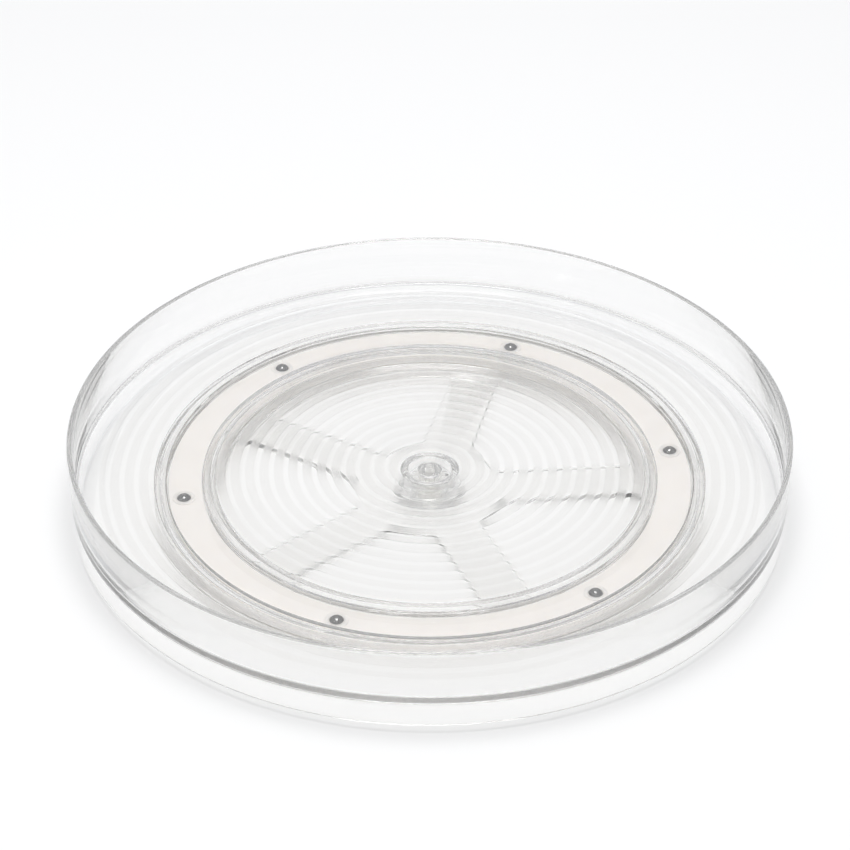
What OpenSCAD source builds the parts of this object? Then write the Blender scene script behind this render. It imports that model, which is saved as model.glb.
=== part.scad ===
// Clear plastic lazy susan turntable: a round walled tray that turns on a ring of six steel balls
// held by a flat cage, over a low five-spoked base. A plastic pin holds the tray down at the hub.
// Millimetres, +Z up, origin on the table under the hub. The two shells are injection moulded.

/* [Overall] */
// outer diameter of the tray
tray_d = 280; // [200:1:360]
// height of the rim above the table
overall_h = 36; // [28:0.5:60]

/* [Tray] */
// thickness of the rim wall and of the skirt below the deck
wall_t = 2; // [1.2:0.1:4]
// thickness of the deck between its raised bands
deck_t = 2.4; // [1.5:0.1:4]
// height of the frosted grip bands above the deck
band_h = 0.2; // [0.1:0.05:1]
// distance from one grip band to the next
band_pitch = 5.65; // [4:0.05:9]
// width of the polished line between two grip bands
line_w = 2; // [1:0.1:3]
// plain strip left between the last grip band and the wall
plain_w = 8.7; // [4:0.1:20]
// gap between the skirt's lower edge and the table
skirt_gap = 3.2; // [1:0.1:8]
// radius of the fillet between the deck and the wall
corner_r = 1.2; // [0.4:0.1:3]
// thickness of the two round ribs under the deck
rib_t = 1.8; // [1:0.1:3]

/* [Ball race] */
// diameter of one steel ball
ball_d = 6; // [4:0.1:10]
// diameter of the circle the ball centres run on
ball_circle_d = 193.4; // [140:0.1:240]
// angle of the first ball from the +X axis
ball_start = 9.4; // [0:0.1:60]
// height of the groove's lowest line in the base
race_h = 4.6; // [3.6:0.1:8]
// depth of the ball groove in the base
groove_depth = 0.8; // [0.3:0.1:1.5]
// play of a ball between the groove and the tray's race
ball_play = 0.02; // [0.01:0.01:0.1]

/* [Ball cage] */
// cage width inside the ball circle
cage_in_w = 7.4; // [5:0.1:12]
// cage width outside the ball circle
cage_out_w = 5.6; // [5:0.1:12]
// play of a ball in its round pocket
pocket_play = 0.08; // [0.05:0.01:0.3]
// height of the raised collar round each pocket
collar_h = 0.3; // [0.1:0.05:0.6]
// play between the cage's guide rims and the base
cage_play = 0.1; // [0.05:0.01:0.4]
// play between the cage's edge and the base's inner lip
cage_side_play = 0.9; // [0.4:0.1:2]

/* [Base] */
// thickness of the base's ring plate
base_t = 2; // [1.5:0.1:4]
// thickness of the spoked plate
spider_t = 2.2; // [1.2:0.1:4]
// height of the spoked plate above the table
spider_gap = 0.8; // [0.3:0.1:2]
// width of one spoke
spoke_w = 19; // [8:0.5:30]
// distance from the hub's centre to the straight inner edge of a window
hub_flat = 28; // [22:0.5:40]
// radius of the windows' corners
window_r = 4; // [1:0.5:8]
// angle of the first spoke from the +X axis
spoke_start = 4.5; // [0:0.5:72]
// thickness of the base's two round lips
lip_t = 1.8; // [1:0.1:3]
// height of the lips above the ring plate
lip_h = 3.8; // [2:0.1:6]
// gap between a lip of the base and the tray's rib beside it
lip_gap = 0.5; // [0.3:0.1:1.5]

/* [Hub] */
// diameter of the tray's centre post
post_d = 8.6; // [6:0.1:12]
// play of the post in the base's bearing tube, on the radius
post_play = 0.05; // [0.01:0.01:0.1]
// outer diameter of the round boss under the deck
boss_d = 22.4; // [18:0.2:30]
// thickness of the boss's wall
boss_t = 2.2; // [1.2:0.1:3]
// thickness of the bearing tube's wall
bearing_t = 2; // [1.2:0.1:3]
// diameter of the pin's shank
pin_d = 4; // [2:0.1:6]
// thickness of the pin's head
pin_head_t = 1.3; // [0.8:0.1:2]
// play between the pin's head and the base
pin_play = 0.3; // [0.05:0.05:0.6]

/* [Hidden] */
$fn = 128;

balls = 6;
spokes = 5;
clear_tint = [0.93, 0.95, 0.96, 0.35];
cage_tint = [0.94, 0.93, 0.9, 0.8];
steel = [0.75, 0.76, 0.78];

tray_r = tray_d / 2;
ball_r = ball_d / 2;
race_r = ball_circle_d / 2;
post_r = post_d / 2;
boss_r = boss_d / 2;
pin_r = pin_d / 2;
press = 0.02;

// heights, built up from the table through the ball race
ball_z = race_h + ball_play + ball_r;
track_z = ball_z + ball_r + ball_play;
track_t = 0.34 * ball_d;
deck_under = track_z + track_t;
deck_z = deck_under + deck_t;
land_z = race_h + groove_depth;
groove_r = ball_r + 0.3;
cage_top = ball_z + 0.2 * ball_d;
cage_bottom = ball_z - 0.15 * ball_d;
rim_foot = land_z + cage_play;
lip_top = race_h + lip_h;
rib_z = race_h + 1.4;

// radii, built outwards and inwards from the ball circle
cage_ro = race_r + cage_out_w;
cage_ri = race_r - cage_in_w;
lip_out_ri = cage_ro + 1.2;
lip_out_ro = lip_out_ri + lip_t;
rib_out_ri = lip_out_ro + lip_gap;
rib_out_ro = rib_out_ri + rib_t;
base_r = rib_out_ro + 0.2;
lip_in_ro = cage_ri - cage_side_play;
lip_in_ri = lip_in_ro - lip_t;
rib_in_ro = lip_in_ri - lip_gap;
rib_in_ri = rib_in_ro - rib_t;
base_ri = rib_in_ri - 0.1;
foot_t = 2;
window_ro = base_ri - 0.5;
track_ri = cage_ri - 0.3;
track_ro = cage_ro + 0.9;

// the grip bands stop short of the ball race, and start again outside it
bore_r = post_r + post_play;
band_w = band_pitch - line_w;
in_first = boss_r + 1.2;
in_last = rib_in_ro + 0.9;
out_first = rib_out_ro + 2.4;
out_last = tray_r - wall_t - plain_w;
in_count = floor((in_last - in_first) / band_pitch);
out_count = floor((out_last - out_first) / band_pitch);

// hub heights
hub_plate_z = pin_head_t + pin_play + 1;
hub_plate_t = 2;
collar_ri = boss_r + 0.2;
collar_ro = collar_ri + 1.8;
collar_top = hub_plate_z + hub_plate_t + 1.2;
boss_z = collar_top + 1;
tube_top = min(deck_under - 4, boss_z + 2);
pin_top = deck_under - 2.8;
head_top = hub_plate_z - pin_play;
pin_head_r = min(bore_r + 3.6, collar_ri - 1);

module band(r0, r1) {
    translate([r0, deck_z - 0.1]) square([r1 - r0, band_h + 0.1]);
}

module tray_section() {
    // rim wall and skirt in one, both edges rounded
    translate([tray_r - wall_t, skirt_gap + wall_t / 2])
        square([wall_t, overall_h - skirt_gap - wall_t]);
    translate([tray_r - wall_t / 2, overall_h - wall_t / 2]) circle(r = wall_t / 2);
    translate([tray_r - wall_t / 2, skirt_gap + wall_t / 2]) circle(r = wall_t / 2);
    // deck, with a fillet up to the wall
    translate([0, deck_under]) square([tray_r - wall_t / 2, deck_t]);
    difference() {
        translate([tray_r - wall_t - corner_r, deck_z - 0.2])
            square([corner_r + 0.2, corner_r + 0.2]);
        translate([tray_r - wall_t - corner_r, deck_z + corner_r]) circle(r = corner_r);
    }
    // frosted grip bands
    for (i = [0 : in_count - 1])
        band(in_first + i * band_pitch, in_first + i * band_pitch + band_w);
    band(in_first + in_count * band_pitch,
         min(in_first + in_count * band_pitch + band_w, in_last + 0.9));
    if (out_count > 0)
        for (i = [0 : out_count - 1])
            band(out_first + i * band_pitch, out_first + i * band_pitch + band_w);
    // the last outer band is cut short where the plain strip begins
    if (out_count >= 0 && out_last - out_first - out_count * band_pitch > 0.5)
        band(out_first + out_count * band_pitch,
             min(out_first + out_count * band_pitch + band_w, out_last));
    // upper ball track, a flat land the balls run under
    translate([track_ri, track_z]) square([track_ro - track_ri, track_t + 0.2]);
    // the two ribs that shut the race against crumbs
    translate([rib_out_ri, rib_z]) square([rib_t, deck_under - rib_z + 0.2]);
    translate([rib_in_ri, rib_z]) square([rib_t, deck_under - rib_z + 0.2]);
    // boss under the hub
    translate([boss_r - boss_t, boss_z]) square([boss_t, deck_under - boss_z + 0.2]);
    // centre post, bored for the pin
    difference() {
        translate([0, head_top]) square([post_r, deck_under - head_top + 0.2]);
        translate([-1, head_top - 1]) square([1 + pin_r, pin_top + 0.4 - head_top + 1]);
    }
}

module tray() {
    color(clear_tint) rotate_extrude() tray_section();
}

// one window of the base, lying along +X: a wedge with a straight inner edge and a round outer one
module window() {
    h = 180 / spokes;
    w = spoke_w / 2;
    // the corner circles cross the edges by this much, so that they meet cleanly
    bite = 0.03;
    u = [cos(h), sin(h)];
    n = [-sin(h), cos(h)];
    far = window_ro + 6;
    // half the straight edge, and the spoke's edge run out past the arc
    yi = (hub_flat * sin(h) - w) / cos(h);
    pf = u * far - n * w;
    // outer corner: a circle that touches the spoke's edge and the outer arc
    d = w + window_r;
    t = sqrt(pow(window_ro - window_r, 2) - d * d);
    co = u * t - n * d;
    to = u * t - n * (w - 0.5);
    po = pf + n * 0.5;
    xo = co * (far / (window_ro - window_r));
    // inner corner: a circle that touches the straight edge and the spoke's edge
    ci = [hub_flat + window_r, ((hub_flat + window_r) * sin(h) - d) / cos(h)];
    ti = ci + n * (window_r + 0.5);
    difference() {
        intersection() {
            circle(r = window_ro);
            polygon([[hub_flat, -yi], [pf[0], -pf[1]], [far * 1.2, 0],
                     [pf[0], pf[1]], [hub_flat, yi]]);
        }
        for (s = [1, -1]) {
            difference() {
                polygon([[co[0], s * co[1]], [to[0], s * to[1]],
                         [po[0], s * po[1]], [xo[0], s * xo[1]]]);
                translate([co[0], s * co[1]]) circle(r = window_r + bite);
            }
            difference() {
                polygon([[ci[0], s * ci[1]], [hub_flat - 0.5, s * ci[1]],
                         [hub_flat - 0.5, s * (yi + 0.5)], [ti[0], s * ti[1]]]);
                translate([ci[0], s * ci[1]]) circle(r = window_r + bite);
            }
        }
    }
}

module base_section() {
    // ring plate, with the two round feet under it
    translate([base_ri, race_h - base_t]) square([base_r - base_ri, base_t]);
    translate([base_r - foot_t, 0]) square([foot_t, race_h - base_t + 0.2]);
    translate([base_ri, 0]) square([foot_t, race_h - base_t + 0.2]);
    // lips beside the cage
    translate([lip_out_ri, race_h - 0.2]) square([lip_t, lip_h + 0.2]);
    translate([lip_in_ri, race_h - 0.2]) square([lip_t, lip_h + 0.2]);
    // lower ball track, a raised land with the balls' groove
    difference() {
        translate([race_r - 5, race_h - 0.2]) square([10, groove_depth + 0.2]);
        translate([race_r, race_h + groove_r]) circle(r = groove_r);
    }
    // collar, plate and bearing tube of the hub
    translate([collar_ri, spider_gap]) square([collar_ro - collar_ri, collar_top - spider_gap]);
    translate([bore_r, hub_plate_z]) square([collar_ri - bore_r + 0.2, hub_plate_t]);
    translate([bore_r, hub_plate_z]) square([bearing_t, tube_top - hub_plate_z]);
}

module base() {
    color(clear_tint) {
        union() {
            rotate_extrude() base_section();
            difference() {
                translate([0, 0, spider_gap]) linear_extrude(spider_t)
                    difference() {
                        circle(r = base_ri + 0.5);
                        circle(r = collar_ri + 0.9);
                    }
                for (k = [0 : spokes - 1])
                    rotate([0, 0, spoke_start + (k + 0.5) * 360 / spokes])
                        translate([0, 0, spider_gap - 1]) linear_extrude(spider_t + 2) window();
            }
        }
    }
}

module ball_cage() {
    color(cage_tint)
        difference() {
            union() {
                rotate_extrude() {
                    translate([cage_ri, cage_bottom])
                        square([cage_ro - cage_ri, cage_top - cage_bottom]);
                    translate([cage_ri, rim_foot])
                        square([1.2, cage_top - rim_foot]);
                    translate([cage_ro - 1.2, rim_foot])
                        square([1.2, cage_top - rim_foot]);
                }
                for (i = [0 : balls - 1])
                    rotate([0, 0, ball_start + i * 360 / balls])
                        translate([race_r, 0, cage_top - 0.5])
                            cylinder(h = collar_h + 0.5, r = ball_r + 1.4);
            }
            for (i = [0 : balls - 1])
                rotate([0, 0, ball_start + i * 360 / balls])
                    translate([race_r, 0, ball_z]) sphere(r = ball_r + pocket_play);
        }
}

module ball(i) {
    color(steel)
        rotate([0, 0, ball_start + (i - 1) * 360 / balls])
            translate([race_r, 0, ball_z]) sphere(r = ball_r);
}

module ball_1() { ball(1); }
module ball_2() { ball(2); }
module ball_3() { ball(3); }
module ball_4() { ball(4); }
module ball_5() { ball(5); }
module ball_6() { ball(6); }

module pivot_pin() {
    color(clear_tint)
        rotate_extrude() {
            translate([0, head_top - pin_head_t]) square([pin_head_r - 0.4, pin_head_t]);
            translate([0, head_top - pin_head_t + 0.4]) square([pin_head_r, pin_head_t - 0.4]);
            translate([0, head_top - 0.2]) square([pin_r + press, pin_top - head_top + 0.2]);
        }
}

tray();
base();
ball_cage();
pivot_pin();
ball_1();
ball_2();
ball_3();
ball_4();
ball_5();
ball_6();
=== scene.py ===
import math

import bmesh
import bpy
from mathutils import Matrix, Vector


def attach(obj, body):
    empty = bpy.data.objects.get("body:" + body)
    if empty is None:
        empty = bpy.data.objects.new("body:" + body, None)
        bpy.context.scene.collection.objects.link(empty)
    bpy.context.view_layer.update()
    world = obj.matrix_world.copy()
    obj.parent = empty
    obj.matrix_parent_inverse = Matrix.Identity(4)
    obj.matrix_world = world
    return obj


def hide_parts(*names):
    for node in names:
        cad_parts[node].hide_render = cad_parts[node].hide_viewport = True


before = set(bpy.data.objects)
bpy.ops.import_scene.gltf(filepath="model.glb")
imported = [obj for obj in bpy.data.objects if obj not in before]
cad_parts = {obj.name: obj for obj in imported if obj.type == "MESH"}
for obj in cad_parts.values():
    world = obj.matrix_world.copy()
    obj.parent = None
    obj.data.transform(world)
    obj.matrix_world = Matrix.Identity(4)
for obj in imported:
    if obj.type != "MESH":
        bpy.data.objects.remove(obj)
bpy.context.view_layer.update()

# ---------------------------------------------------------------------------
# Tray. One clear styrene moulding: rim wall and skirt in one, a flat deck with raised frosted
# grip bands, two ribs and the ball track under the deck, and the hub's boss and post.
# Moulded in one shot from a gate at the middle of the deck.
# ---------------------------------------------------------------------------

mm = 0.001


def rounded(section):
    """The outline of a turned section, in mm, with each corner (r, z, radius) eased to its radius."""
    turn_per_step = 0.3
    outline = []
    for i, (r, z, ease) in enumerate(section):
        here = Vector((r, z))
        if ease <= 0:
            outline.append(here)
            continue
        back = Vector(section[i - 1][:2]) - here
        ahead = Vector(section[(i + 1) % len(section)][:2]) - here
        angle = back.angle(ahead)
        reach = ease / math.tan(angle / 2)
        inward = (back.normalized() + ahead.normalized()).normalized()
        middle = here + inward * (ease / math.sin(angle / 2))
        first = here + back.normalized() * reach - middle
        last = here + ahead.normalized() * reach - middle
        steps = max(1, round((math.pi - angle) / turn_per_step))
        for k in range(steps + 1):
            spoke = first.slerp(last, k / steps)
            outline.append(middle + spoke.normalized() * ease)
    return outline


def piece_from(mesh, name):
    """Puts a finished mesh into the scene as a piece of its own."""
    data = bpy.data.meshes.new(name)
    mesh.to_mesh(data)
    mesh.free()
    piece = bpy.data.objects.new(name, data)
    bpy.context.collection.objects.link(piece)
    return piece


def turned(name, section, around):
    """A closed body turned about the hub's axis from a section that starts and ends on the axis
    or closes on itself."""
    crease = math.radians(34)
    on_axis = 1e-6
    mesh = bmesh.new()
    rings = []
    for point in rounded(section):
        if point.x < on_axis:
            rings.append([mesh.verts.new((0, 0, point.y * mm))])
            continue
        ring = []
        for k in range(around):
            turn = 2 * math.pi * k / around
            x = point.x * mm * math.cos(turn)
            y = point.x * mm * math.sin(turn)
            ring.append(mesh.verts.new((x, y, point.y * mm)))
        rings.append(ring)
    pairs = list(zip(rings, rings[1:]))
    if len(rings[0]) > 1:
        pairs.append((rings[-1], rings[0]))
    for low, high in pairs:
        for k in range(around):
            m = (k + 1) % around
            if len(low) == 1 and len(high) == 1:
                continue
            if len(low) == 1:
                mesh.faces.new((low[0], high[m], high[k]))
            elif len(high) == 1:
                mesh.faces.new((low[k], low[m], high[0]))
            else:
                mesh.faces.new((low[k], low[m], high[m], high[k]))
    bmesh.ops.recalc_face_normals(mesh, faces=mesh.faces)
    for face in mesh.faces:
        face.smooth = True
    for edge in mesh.edges:
        if len(edge.link_faces) == 2 and edge.calc_face_angle() > crease:
            edge.smooth = False
    return piece_from(mesh, name)


# heights above the table, in mm
rim_z, skirt_z = 36.0, 3.2
deck_z, under_z = 15.08, 12.68
track_z, rib_z = 10.64, 6.0
boss_z, post_z, bore_z = 6.8, 2.3, 10.28

# radii from the hub's axis, in mm
rim_r, wall = 140.0, 2.0
rib_outer, rib_inner, rib_w = 107.6, 86.1, 1.8
track_outer, track_inner = 103.2, 89.0
boss_r, boss_bore = 11.2, 9.0
post_r, bore_r = 4.3, 2.06
gate_r, gate_h, gate_slope = 1.1, 0.22, 0.3

# grip bands: where each starts and ends
band_h, band_w, pitch = 0.06, 3.65, 5.65
first_inner, inner_count = 12.4, 13
first_outer, outer_count = 110.0, 3
bands = [(first_inner + pitch * k, first_inner + pitch * k + band_w) for k in range(inner_count)]
bands += [(85.85, 87.9)]
bands += [(first_outer + pitch * k, first_outer + pitch * k + band_w) for k in range(outer_count)]
bands += [(126.95, 129.3)]
band_foot, band_shoulder, band_ease = 0.1, 0.25, 1.2

tray_section = [
    (0, deck_z + gate_h, 0),
    (gate_r, deck_z + gate_h, 0.1),
    (gate_r + gate_slope, deck_z, 0.1),
]
for start, end in bands:
    tray_section += [
        (start - band_foot, deck_z, band_ease),
        (start + band_shoulder, deck_z + band_h, band_ease),
        (end - band_shoulder, deck_z + band_h, band_ease),
        (end + band_foot, deck_z, band_ease),
    ]
tray_section += [
    (rim_r - wall, deck_z, 1.2),
    (rim_r - wall, rim_z, 0.6),
    (rim_r, rim_z, 0.6),
    (rim_r, skirt_z, 0.95),
    (rim_r - wall, skirt_z, 0.95),
    (rim_r - wall, under_z, 0.8),
    (rib_outer, under_z, 0.4),
    (rib_outer, rib_z, 0.35),
    (rib_outer - rib_w, rib_z, 0.35),
    (rib_outer - rib_w, under_z, 0.3),
    (track_outer, under_z, 0.3),
    (track_outer, track_z, 0.2),
    (track_inner, track_z, 0.2),
    (track_inner, under_z, 0.3),
    (rib_inner, under_z, 0.3),
    (rib_inner, rib_z, 0.35),
    (rib_inner - rib_w, rib_z, 0.35),
    (rib_inner - rib_w, under_z, 0.4),
    (boss_r, under_z, 0.5),
    (boss_r, boss_z, 0.35),
    (boss_bore, boss_z, 0.35),
    (boss_bore, under_z, 0.5),
    (post_r, under_z, 0.5),
    (post_r, post_z, 0.15),
    (bore_r, post_z, 0.1),
    (bore_r, bore_z, 0.1),
    (0, bore_z, 0),
]
tray = turned("tray_shell", tray_section, around=320)


def add_node(tree, kind, values=None, feeds=None, **settings):
    """A shader node with its settings, its sockets' values, and what feeds its other sockets."""
    node = tree.nodes.new("ShaderNode" + kind)
    for setting, choice in settings.items():
        setattr(node, setting, choice)
    for socket, value in (values or {}).items():
        node.inputs[socket].default_value = value
    for socket, output in (feeds or {}).items():
        tree.links.new(output, node.inputs[socket])
    return node


def etch(tree, body, place, out_from_hub, smooth_rough, smooth_bump, above):
    """Etches the skin above a height, from just outside the hub to just inside the rim wall: fine
    pits, a broad sheen, and a slight grey painted into its colour as painted shade for the light
    that the etching scatters away. Returns where the skin lies inside the wall."""
    etch_from, etch_to = 11.5 * mm, 134.0 * mm
    height = add_node(tree, "SeparateXYZ", feeds={"Vector": place}).outputs["Z"]
    high = add_node(tree, "Math", {1: above}, {0: height}, operation="GREATER_THAN")
    within = add_node(tree, "Math", {1: etch_to}, {0: out_from_hub}, operation="LESS_THAN")
    beyond = add_node(tree, "Math", {1: etch_from}, {0: out_from_hub}, operation="GREATER_THAN")
    on_deck = add_node(
        tree,
        "Math",
        feeds={0: high.outputs["Value"], 1: within.outputs["Value"]},
        operation="MULTIPLY",
    )
    etched = add_node(
        tree,
        "Math",
        feeds={0: on_deck.outputs["Value"], 1: beyond.outputs["Value"]},
        operation="MULTIPLY",
    ).outputs["Value"]

    grain = add_node(tree, "TexNoise", {"Scale": 2600, "Detail": 2}, {"Vector": place})
    etch_rough = add_node(
        tree, "MapRange", {"To Min": 0.2, "To Max": 0.3}, {"Value": grain.outputs["Fac"]}
    )
    rough = add_node(
        tree,
        "Mix",
        feeds={"Factor": etched, "A": smooth_rough, "B": etch_rough.outputs["Result"]},
    )
    tree.links.new(rough.outputs["Result"], body.inputs["Roughness"])
    # painted shade: the etched skin's colour is turned a little grey, standing in for the light it
    # scatters away
    etch_painted_shade = add_node(
        tree,
        "Mix",
        {"A": (1, 1, 1, 1), "B": (0.97, 0.965, 0.96, 1)},
        {"Factor": etched},
        data_type="RGBA",
    )
    tree.links.new(etch_painted_shade.outputs["Result"], body.inputs["Base Color"])
    pits = add_node(tree, "Math", feeds={0: grain.outputs["Fac"], 1: etched}, operation="MULTIPLY")
    pitted = add_node(
        tree,
        "Bump",
        {"Strength": 0.25, "Distance": 0.05 * mm},
        {"Height": pits.outputs["Value"], "Normal": smooth_bump},
    )
    tree.links.new(pitted.outputs["Normal"], body.inputs["Normal"])
    return within.outputs["Value"]


def clear_plastic(name, tinge, side_shadow, frosted_above=None):
    """Clear moulded plastic with a faint ripple and haze. It soaks up light at the rate tinge, so
    that edges, with a long way through them, look dark. Lamps shine through it, but a wall on
    edge to the lamp holds back the share side_shadow. With frosted_above, in metres, the skin
    above that height is etched, and nothing inside the rim wall holds the lamps back."""
    many_passes = 5.5
    skin = bpy.data.materials.new(name)
    skin.use_nodes = True
    tree = skin.node_tree
    tree.nodes.clear()
    place = add_node(tree, "TexCoord").outputs["Object"]
    body = add_node(
        tree,
        "BsdfPrincipled",
        {"Base Color": (1, 1, 1, 1), "IOR": 1.52, "Transmission Weight": 1.0, "Roughness": 0.0},
    )

    ripple = add_node(tree, "TexNoise", {"Scale": 38, "Detail": 2}, {"Vector": place})
    bump = add_node(
        tree,
        "Bump",
        {"Strength": 0.005, "Distance": 0.6 * mm},
        {"Height": ripple.outputs["Fac"]},
    )
    haze = add_node(tree, "TexNoise", {"Scale": 55, "Detail": 5}, {"Vector": place})
    rough = add_node(
        tree,
        "MapRange",
        {"From Min": 0.45, "From Max": 0.8, "To Min": 0.0, "To Max": 0.012},
        {"Value": haze.outputs["Fac"]},
    )

    slant = add_node(tree, "LayerWeight", {"Blend": 0.35})
    lamp_share = add_node(
        tree,
        "MapRange",
        {"From Min": 0.3, "From Max": 0.85, "To Min": 1.0, "To Max": 1 - side_shadow},
        {"Value": slant.outputs["Facing"]},
    ).outputs["Result"]
    if frosted_above is None:
        tree.links.new(rough.outputs["Result"], body.inputs["Roughness"])
        tree.links.new(bump.outputs["Normal"], body.inputs["Normal"])
    else:
        flat = add_node(tree, "VectorMath", {1: (1, 1, 0)}, {0: place}, operation="MULTIPLY")
        away = add_node(tree, "VectorMath", feeds={0: flat.outputs["Vector"]}, operation="LENGTH")
        inside_wall = etch(
            tree,
            body,
            place,
            away.outputs["Value"],
            rough.outputs["Result"],
            bump.outputs["Normal"],
            frosted_above,
        )
        lamp_share = add_node(
            tree, "Math", feeds={0: lamp_share, 1: inside_wall}, operation="MAXIMUM"
        ).outputs["Value"]

    ray = add_node(tree, "LightPath")
    from_lamp = add_node(
        tree, "Math", feeds={0: ray.outputs["Is Shadow Ray"], 1: lamp_share}, operation="MULTIPLY"
    )
    soft = add_node(
        tree,
        "Math",
        feeds={0: from_lamp.outputs["Value"], 1: ray.outputs["Is Diffuse Ray"]},
        operation="MAXIMUM",
    )
    deep = add_node(
        tree,
        "Math",
        {1: many_passes},
        {0: ray.outputs["Transmission Depth"]},
        operation="GREATER_THAN",
    )
    straight = add_node(
        tree,
        "Math",
        feeds={0: soft.outputs["Value"], 1: deep.outputs["Value"]},
        operation="MAXIMUM",
    )
    let_by = add_node(tree, "BsdfTransparent", {"Color": (0.982, 0.981, 0.976, 1)})
    surface = add_node(
        tree,
        "MixShader",
        feeds={
            "Fac": straight.outputs["Value"],
            1: body.outputs["BSDF"],
            2: let_by.outputs["BSDF"],
        },
    )
    depth = add_node(
        tree, "VolumeAbsorption", {"Color": (0.6, 0.597, 0.585, 1), "Density": tinge}
    )
    add_node(
        tree,
        "OutputMaterial",
        feeds={"Surface": surface.outputs["Shader"], "Volume": depth.outputs["Volume"]},
    )
    return skin


tray.data.materials.append(
    clear_plastic("clear_styrene_tray", 22.0, 0.8, frosted_above=(deck_z + band_h / 2) * mm)
)
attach(tray, "tray")
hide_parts("tray")

# ---------------------------------------------------------------------------
# Base. A second clear styrene moulding: a channel ring on two round feet that holds the balls'
# groove between two lips, joined by five flat spokes to the hub's collar and bearing tube.
# ---------------------------------------------------------------------------

ring_low, ring_top, lip_z = 2.6, 4.6, 8.4
spoke_low, spoke_top = 0.8, 3.0
collar_z, tube_z = 5.8, 8.68
foot_outer, foot_inner, foot_w = 107.8, 86.2, 2.0
lip_outer, lip_inner, lip_w = 105.3, 88.4, 1.8
collar_r, collar_bore = 13.2, 11.4
tube_r, tube_bore = 6.35, 4.35
ball_circle = 96.7
land_z, land_w = 5.4, 5.0
groove_r, groove_z = 3.3, 7.9
groove_steps = 12

base_section = [
    (foot_outer, ring_top, 0.3),
    (foot_outer, 0.0, 0.3),
    (foot_outer - foot_w, 0.0, 0.3),
    (foot_outer - foot_w, ring_low, 0.4),
    (foot_inner, ring_low, 0.4),
    (foot_inner, 0.0, 0.3),
    (foot_inner - foot_w, 0.0, 0.3),
    (foot_inner - foot_w, spoke_low, 0.15),
    (collar_bore, spoke_low, 0.3),
    (collar_bore, ring_low, 0.3),
    (tube_bore, ring_low, 0.2),
    (tube_bore, tube_z, 0.3),
    (tube_r, tube_z, 0.3),
    (tube_r, ring_top, 0.4),
    (collar_bore, ring_top, 0.3),
    (collar_bore, collar_z, 0.3),
    (collar_r, collar_z, 0.3),
    (collar_r, spoke_top, 0.5),
    (foot_inner - foot_w, spoke_top, 0.3),
    (foot_inner - foot_w, ring_top, 0.3),
    (lip_inner - lip_w, ring_top, 0.3),
    (lip_inner - lip_w, lip_z, 0.35),
    (lip_inner, lip_z, 0.35),
    (lip_inner, ring_top, 0.3),
    (ball_circle - land_w, ring_top, 0.2),
    (ball_circle - land_w, land_z, 0.2),
]
half = math.acos((groove_z - land_z) / groove_r)
for k in range(groove_steps + 1):
    a = -half + 2 * half * k / groove_steps
    r = ball_circle + groove_r * math.sin(a)
    base_section.append((r, groove_z - groove_r * math.cos(a), 0))
base_section += [
    (ball_circle + land_w, land_z, 0.2),
    (ball_circle + land_w, ring_top, 0.2),
    (lip_outer - lip_w, ring_top, 0.2),
    (lip_outer - lip_w, lip_z, 0.35),
    (lip_outer, lip_z, 0.35),
    (lip_outer, ring_top, 0.3),
]
base = turned("base_shell", base_section[::-1], around=360)

spokes, first_spoke = 5, 4.5
spoke_half, window_inner, window_outer, corner = 9.5, 28.0, 83.7, 4.0


def window_cutter(angle):
    """A prism through the gap between two spokes, with its four corners eased."""
    corner_steps, arc_steps = 8, 40
    below, above = -2, 4
    spread = math.pi / spokes
    d = spoke_half + corner
    along = Vector((math.cos(spread), math.sin(spread)))
    across = Vector((-math.sin(spread), math.cos(spread)))
    middle_out = along * math.sqrt((window_outer - corner) ** 2 - d * d) - across * d
    x = window_inner + corner
    middle_in = Vector((x, (x * math.sin(spread) - d) / math.cos(spread)))
    side = []
    for k in range(corner_steps + 1):
        a = math.pi + (-math.pi / 2 + spread) * k / corner_steps
        side.append(middle_in + Vector((math.cos(a), math.sin(a))) * corner)
    begin = math.atan2(across.y, across.x)
    finish = math.atan2(middle_out.y, middle_out.x)
    for k in range(corner_steps + 1):
        a = begin + (finish - begin) * k / corner_steps
        side.append(middle_out + Vector((math.cos(a), math.sin(a))) * corner)
    outline = list(side)
    for k in range(1, arc_steps):
        a = finish - 2 * finish * k / arc_steps
        outline.append(Vector((math.cos(a), math.sin(a))) * window_outer)
    outline += [Vector((p.x, -p.y)) for p in reversed(side)]

    mesh = bmesh.new()
    turn = math.radians(angle)
    floor = []
    for p in outline:
        x = (p.x * math.cos(turn) - p.y * math.sin(turn)) * mm
        y = (p.x * math.sin(turn) + p.y * math.cos(turn)) * mm
        floor.append(mesh.verts.new((x, y, below * mm)))
    face = mesh.faces.new(floor)
    risen = bmesh.ops.extrude_face_region(mesh, geom=[face])
    for part in risen["geom"]:
        if isinstance(part, bmesh.types.BMVert):
            part.co.z = above * mm
    bmesh.ops.recalc_face_normals(mesh, faces=mesh.faces)
    return piece_from(mesh, "window_cutter")


def settle(piece):
    """Works the piece's modifiers into its mesh."""
    graph = bpy.context.evaluated_depsgraph_get()
    piece.data = bpy.data.meshes.new_from_object(piece.evaluated_get(graph))
    piece.modifiers.clear()


def cut(piece, tools, how="DIFFERENCE"):
    """Cuts or joins the tools and throws them away."""
    for tool in tools:
        step = piece.modifiers.new("cut", "BOOLEAN")
        step.operation = how
        step.solver = "EXACT"
        step.object = tool
    settle(piece)
    for tool in tools:
        bpy.data.objects.remove(tool)


def eased(piece, width):
    """Breaks the sharp edges that the cutting left, and keeps the rest smooth."""
    step = piece.modifiers.new("ease", "BEVEL")
    step.width = width * mm
    step.segments = 2
    step.limit_method = "ANGLE"
    step.angle_limit = math.radians(40)
    step.harden_normals = True
    settle(piece)
    for face in piece.data.polygons:
        face.use_smooth = True


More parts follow.
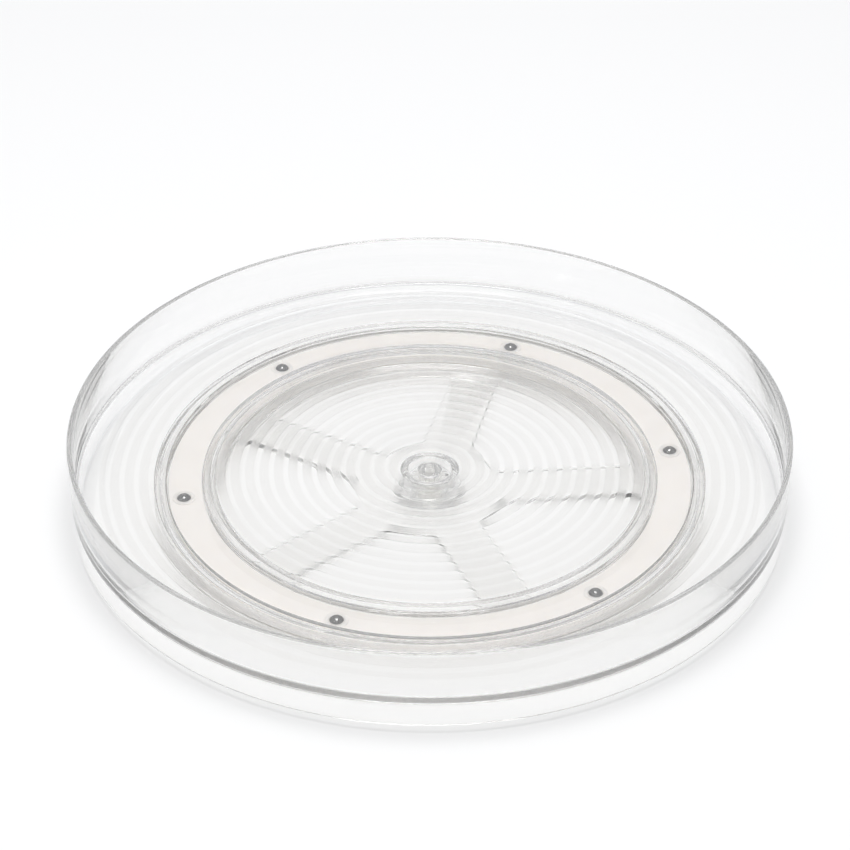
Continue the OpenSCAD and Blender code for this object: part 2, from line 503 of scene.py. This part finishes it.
window_turns = [first_spoke + (k + 0.5) * 360 / spokes for k in range(spokes)]
cut(base, [window_cutter(turn) for turn in window_turns])
eased(base, 0.2)
base.data.materials.append(clear_plastic("clear_styrene_base", 18.0, 0.0))
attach(base, "base")
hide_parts("base")

# ---------------------------------------------------------------------------
# Ball cage. A flat ring of natural, milky polypropylene with six round pockets, each with a low
# collar, and two guide rims under its edges. It floats between the lips of the base.
# ---------------------------------------------------------------------------

cage_inner, cage_outer, guide_w = 89.3, 102.3, 1.2
guide_z, cage_low, cage_top = 5.5, 6.72, 8.82
cage_section = [
    (cage_inner, cage_top, 0.25),
    (cage_inner, guide_z, 0.2),
    (cage_inner + guide_w, guide_z, 0.2),
    (cage_inner + guide_w, cage_low, 0.3),
    (cage_outer - guide_w, cage_low, 0.3),
    (cage_outer - guide_w, guide_z, 0.2),
    (cage_outer, guide_z, 0.2),
    (cage_outer, cage_top, 0.25),
]
cage = turned("cage_ring", cage_section, around=300)

ball_z, ball_r, pocket_gap = 7.62, 3.0, 0.08
pocket_collar_r, pocket_collar_low, pocket_collar_top = 4.4, 8.3, 9.12
balls, first_ball = 6, 9.4
spots = [math.radians(first_ball + 360 / balls * k) for k in range(balls)]


def on_ball_circle(mesh, angle, z):
    """Moves a mesh from the middle out to a place on the ball circle."""
    where = Vector((math.cos(angle), math.sin(angle), 0)) * ball_circle * mm
    where.z = z * mm
    bmesh.ops.translate(mesh, verts=mesh.verts, vec=where)


def pocket_collar(angle):
    """The low round collar that stands about one pocket."""
    mesh = bmesh.new()
    bmesh.ops.create_cone(
        mesh,
        cap_ends=True,
        segments=64,
        radius1=pocket_collar_r * mm,
        radius2=pocket_collar_r * mm,
        depth=(pocket_collar_top - pocket_collar_low) * mm,
    )
    on_ball_circle(mesh, angle, (pocket_collar_low + pocket_collar_top) / 2)
    return piece_from(mesh, "collar")


def round_ball(name, r, angle):
    """A true sphere at a ball's place."""
    mesh = bmesh.new()
    bmesh.ops.create_icosphere(mesh, subdivisions=5, radius=r * mm)
    on_ball_circle(mesh, angle, ball_z)
    for face in mesh.faces:
        face.smooth = True
    return piece_from(mesh, name)


cut(cage, [pocket_collar(spot) for spot in spots], "UNION")
cut(cage, [round_ball("pocket", ball_r + pocket_gap, spot) for spot in spots])
eased(cage, 0.12)


def milky_plastic():
    """Unfilled polypropylene: milky, softly shiny, with faint flow marks round the ring."""
    skin = bpy.data.materials.new("milky_polypropylene")
    skin.use_nodes = True
    tree = skin.node_tree
    body = tree.nodes["Principled BSDF"]
    body.inputs["Roughness"].default_value = 0.38
    body.inputs["IOR"].default_value = 1.49
    body.inputs["Subsurface Weight"].default_value = 0.5
    body.inputs["Subsurface Radius"].default_value = (0.004, 0.0038, 0.0034)
    body.inputs["Subsurface Scale"].default_value = 1.0
    place = add_node(tree, "TexCoord").outputs["Object"]
    flow = add_node(tree, "TexNoise", {"Scale": 90, "Detail": 4}, {"Vector": place})
    tone = add_node(tree, "ValToRGB", feeds={"Fac": flow.outputs["Fac"]})
    tone.color_ramp.elements[0].position = 0.3
    tone.color_ramp.elements[0].color = (0.87, 0.825, 0.79, 1)
    tone.color_ramp.elements[1].position = 0.7
    tone.color_ramp.elements[1].color = (0.91, 0.865, 0.83, 1)
    tree.links.new(tone.outputs["Color"], body.inputs["Base Color"])
    grain = add_node(tree, "TexNoise", {"Scale": 1800}, {"Vector": place})
    bump = add_node(
        tree,
        "Bump",
        {"Strength": 0.15, "Distance": 0.04 * mm},
        {"Height": grain.outputs["Fac"]},
    )
    tree.links.new(bump.outputs["Normal"], body.inputs["Normal"])
    return skin


cage.data.materials.append(milky_plastic())
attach(cage, "cage")
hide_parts("ball_cage")

# ---------------------------------------------------------------------------
# Balls. Six ground and polished steel balls, 6 mm across, each alone in its pocket. They run in
# the base's groove and carry the tray's track on their tops.
# ---------------------------------------------------------------------------


def ball_steel():
    """Polished bearing steel with a trace of wear round the ball."""
    skin = bpy.data.materials.new("polished_steel")
    skin.use_nodes = True
    tree = skin.node_tree
    body = tree.nodes["Principled BSDF"]
    body.inputs["Metallic"].default_value = 1.0
    body.inputs["Base Color"].default_value = (0.22, 0.22, 0.22, 1)
    place = add_node(tree, "TexCoord").outputs["Object"]
    wear = add_node(tree, "TexNoise", {"Scale": 900, "Detail": 4}, {"Vector": place})
    rough = add_node(
        tree, "MapRange", {"To Min": 0.02, "To Max": 0.08}, {"Value": wear.outputs["Fac"]}
    )
    tree.links.new(rough.outputs["Result"], body.inputs["Roughness"])
    return skin


steel = ball_steel()
for k, spot in enumerate(spots, 1):
    ball = round_ball(f"steel_ball_{k}", ball_r, spot)
    ball.data.materials.append(steel)
    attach(ball, f"ball_{k}")
    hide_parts(f"ball_{k}")

# ---------------------------------------------------------------------------
# Pivot pin. A clear plastic rivet pressed into the tray's post from below. Its flat head catches
# under the base's hub plate, so the tray can turn but not lift off.
# ---------------------------------------------------------------------------

head_low, head_top, shank_top = 1.0, 2.28, 9.88
head_r, shank_r = 7.95, 2.0
pin_section = [
    (0, head_low, 0),
    (head_r, head_low, 0.4),
    (head_r, head_top, 0.25),
    (shank_r, head_top, 0.3),
    (shank_r, shank_top, 0.3),
    (0, shank_top, 0),
]
pin = turned("pivot_rivet", pin_section, around=96)
pin.data.materials.append(clear_plastic("clear_styrene_pin", 60.0, 0.2))
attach(pin, "tray")
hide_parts("pivot_pin")

# ---------------------------------------------------------------------------
# Studio. A plain white table under one large soft lamp, with a wide soft lamp far behind and a
# small one at the left for the glints. Pale surroundings give the clear edges something to bend.
# ---------------------------------------------------------------------------

reach, drop = 8, -0.0002
corners = [(-reach, -reach, drop), (reach, -reach, drop), (reach, reach, drop), (-reach, reach, drop)]
table = bpy.data.meshes.new("table_top")
table.from_pydata(corners, [], [(0, 1, 2, 3)])
floor = bpy.data.objects.new("table_top", table)
bpy.context.collection.objects.link(floor)
white = bpy.data.materials.new("white_table")
white.use_nodes = True
paint = white.node_tree.nodes["Principled BSDF"]
paint.inputs["Base Color"].default_value = (0.9, 0.9, 0.9, 1)
paint.inputs["Roughness"].default_value = 0.6
table.materials.append(white)


def lamp(name, where, toward, size, power, tall=None):
    """A square or oblong soft lamp, with its size in metres and its power in watts."""
    light = bpy.data.lights.new(name, "AREA")
    light.shape = "RECTANGLE"
    light.size = size
    light.size_y = tall or size
    light.energy = power
    thing = bpy.data.objects.new(name, light)
    thing.location = where
    thing.rotation_euler = (Vector(toward) - Vector(where)).to_track_quat("-Z", "Y").to_euler()
    bpy.context.collection.objects.link(thing)
    return thing


overhead = lamp("lamp_above", (0, -0.1, 1.5), (0, -0.05, 0), 0.7, 10.35)
overhead.visible_glossy = False
lamp("lamp_sparkle", (-0.75, -0.55, 1.1), (0, 0, 0), 0.16, 0.5)
backlight = lamp("lamp_behind", (0, 2.2, 1.3), (0, 0, 0), 1.8, 3.5, 0.9)
backlight.visible_glossy = False

studio = bpy.data.worlds.new("studio")
bpy.context.scene.world = studio
studio.use_nodes = True
tree = studio.node_tree
tree.nodes.clear()
sight = add_node(tree, "TexCoord").outputs["Generated"]
height = add_node(tree, "SeparateXYZ", feeds={"Vector": sight}).outputs["Z"]
walls = add_node(tree, "ValToRGB", feeds={"Fac": height})
walls.color_ramp.elements[0].position = 0.0
walls.color_ramp.elements[0].color = (0.61, 0.63, 0.68, 1)
walls.color_ramp.elements[1].position = 0.75
walls.color_ramp.elements[1].color = (0.7, 0.7, 0.7, 1)
around_it = add_node(tree, "Background", feeds={"Color": walls.outputs["Color"]})
behind_it = add_node(tree, "Background", {"Color": (0.93, 0.935, 0.94, 1)})
ray = add_node(tree, "LightPath")
mix = add_node(
    tree,
    "MixShader",
    feeds={
        "Fac": ray.outputs["Is Camera Ray"],
        1: around_it.outputs["Background"],
        2: behind_it.outputs["Background"],
    },
)
add_node(tree, "OutputWorld", feeds={"Surface": mix.outputs["Shader"]})

# light crosses many clear walls here, and an edge whose light stops too soon turns black
crossings = 24
scene = bpy.context.scene
scene.view_settings.view_transform = "Standard"
scene.cycles.max_bounces = crossings
scene.cycles.transmission_bounces = crossings
scene.cycles.glossy_bounces = crossings
scene.cycles.transparent_max_bounces = crossings
scene.cycles.diffuse_bounces = 6

tilt, distance = math.radians(36.49), 1.02825
eye = bpy.data.cameras.new("camera")
eye.lens = 110.03
eye.sensor_width = 36
eye.shift_x = -0.0056
eye.shift_y = 0.085
camera = bpy.data.objects.new("camera", eye)
camera.location = (0, -distance * math.cos(tilt), distance * math.sin(tilt))
camera.rotation_euler = (math.radians(90) - tilt, 0, 0)
bpy.context.collection.objects.link(camera)
scene.camera = camera
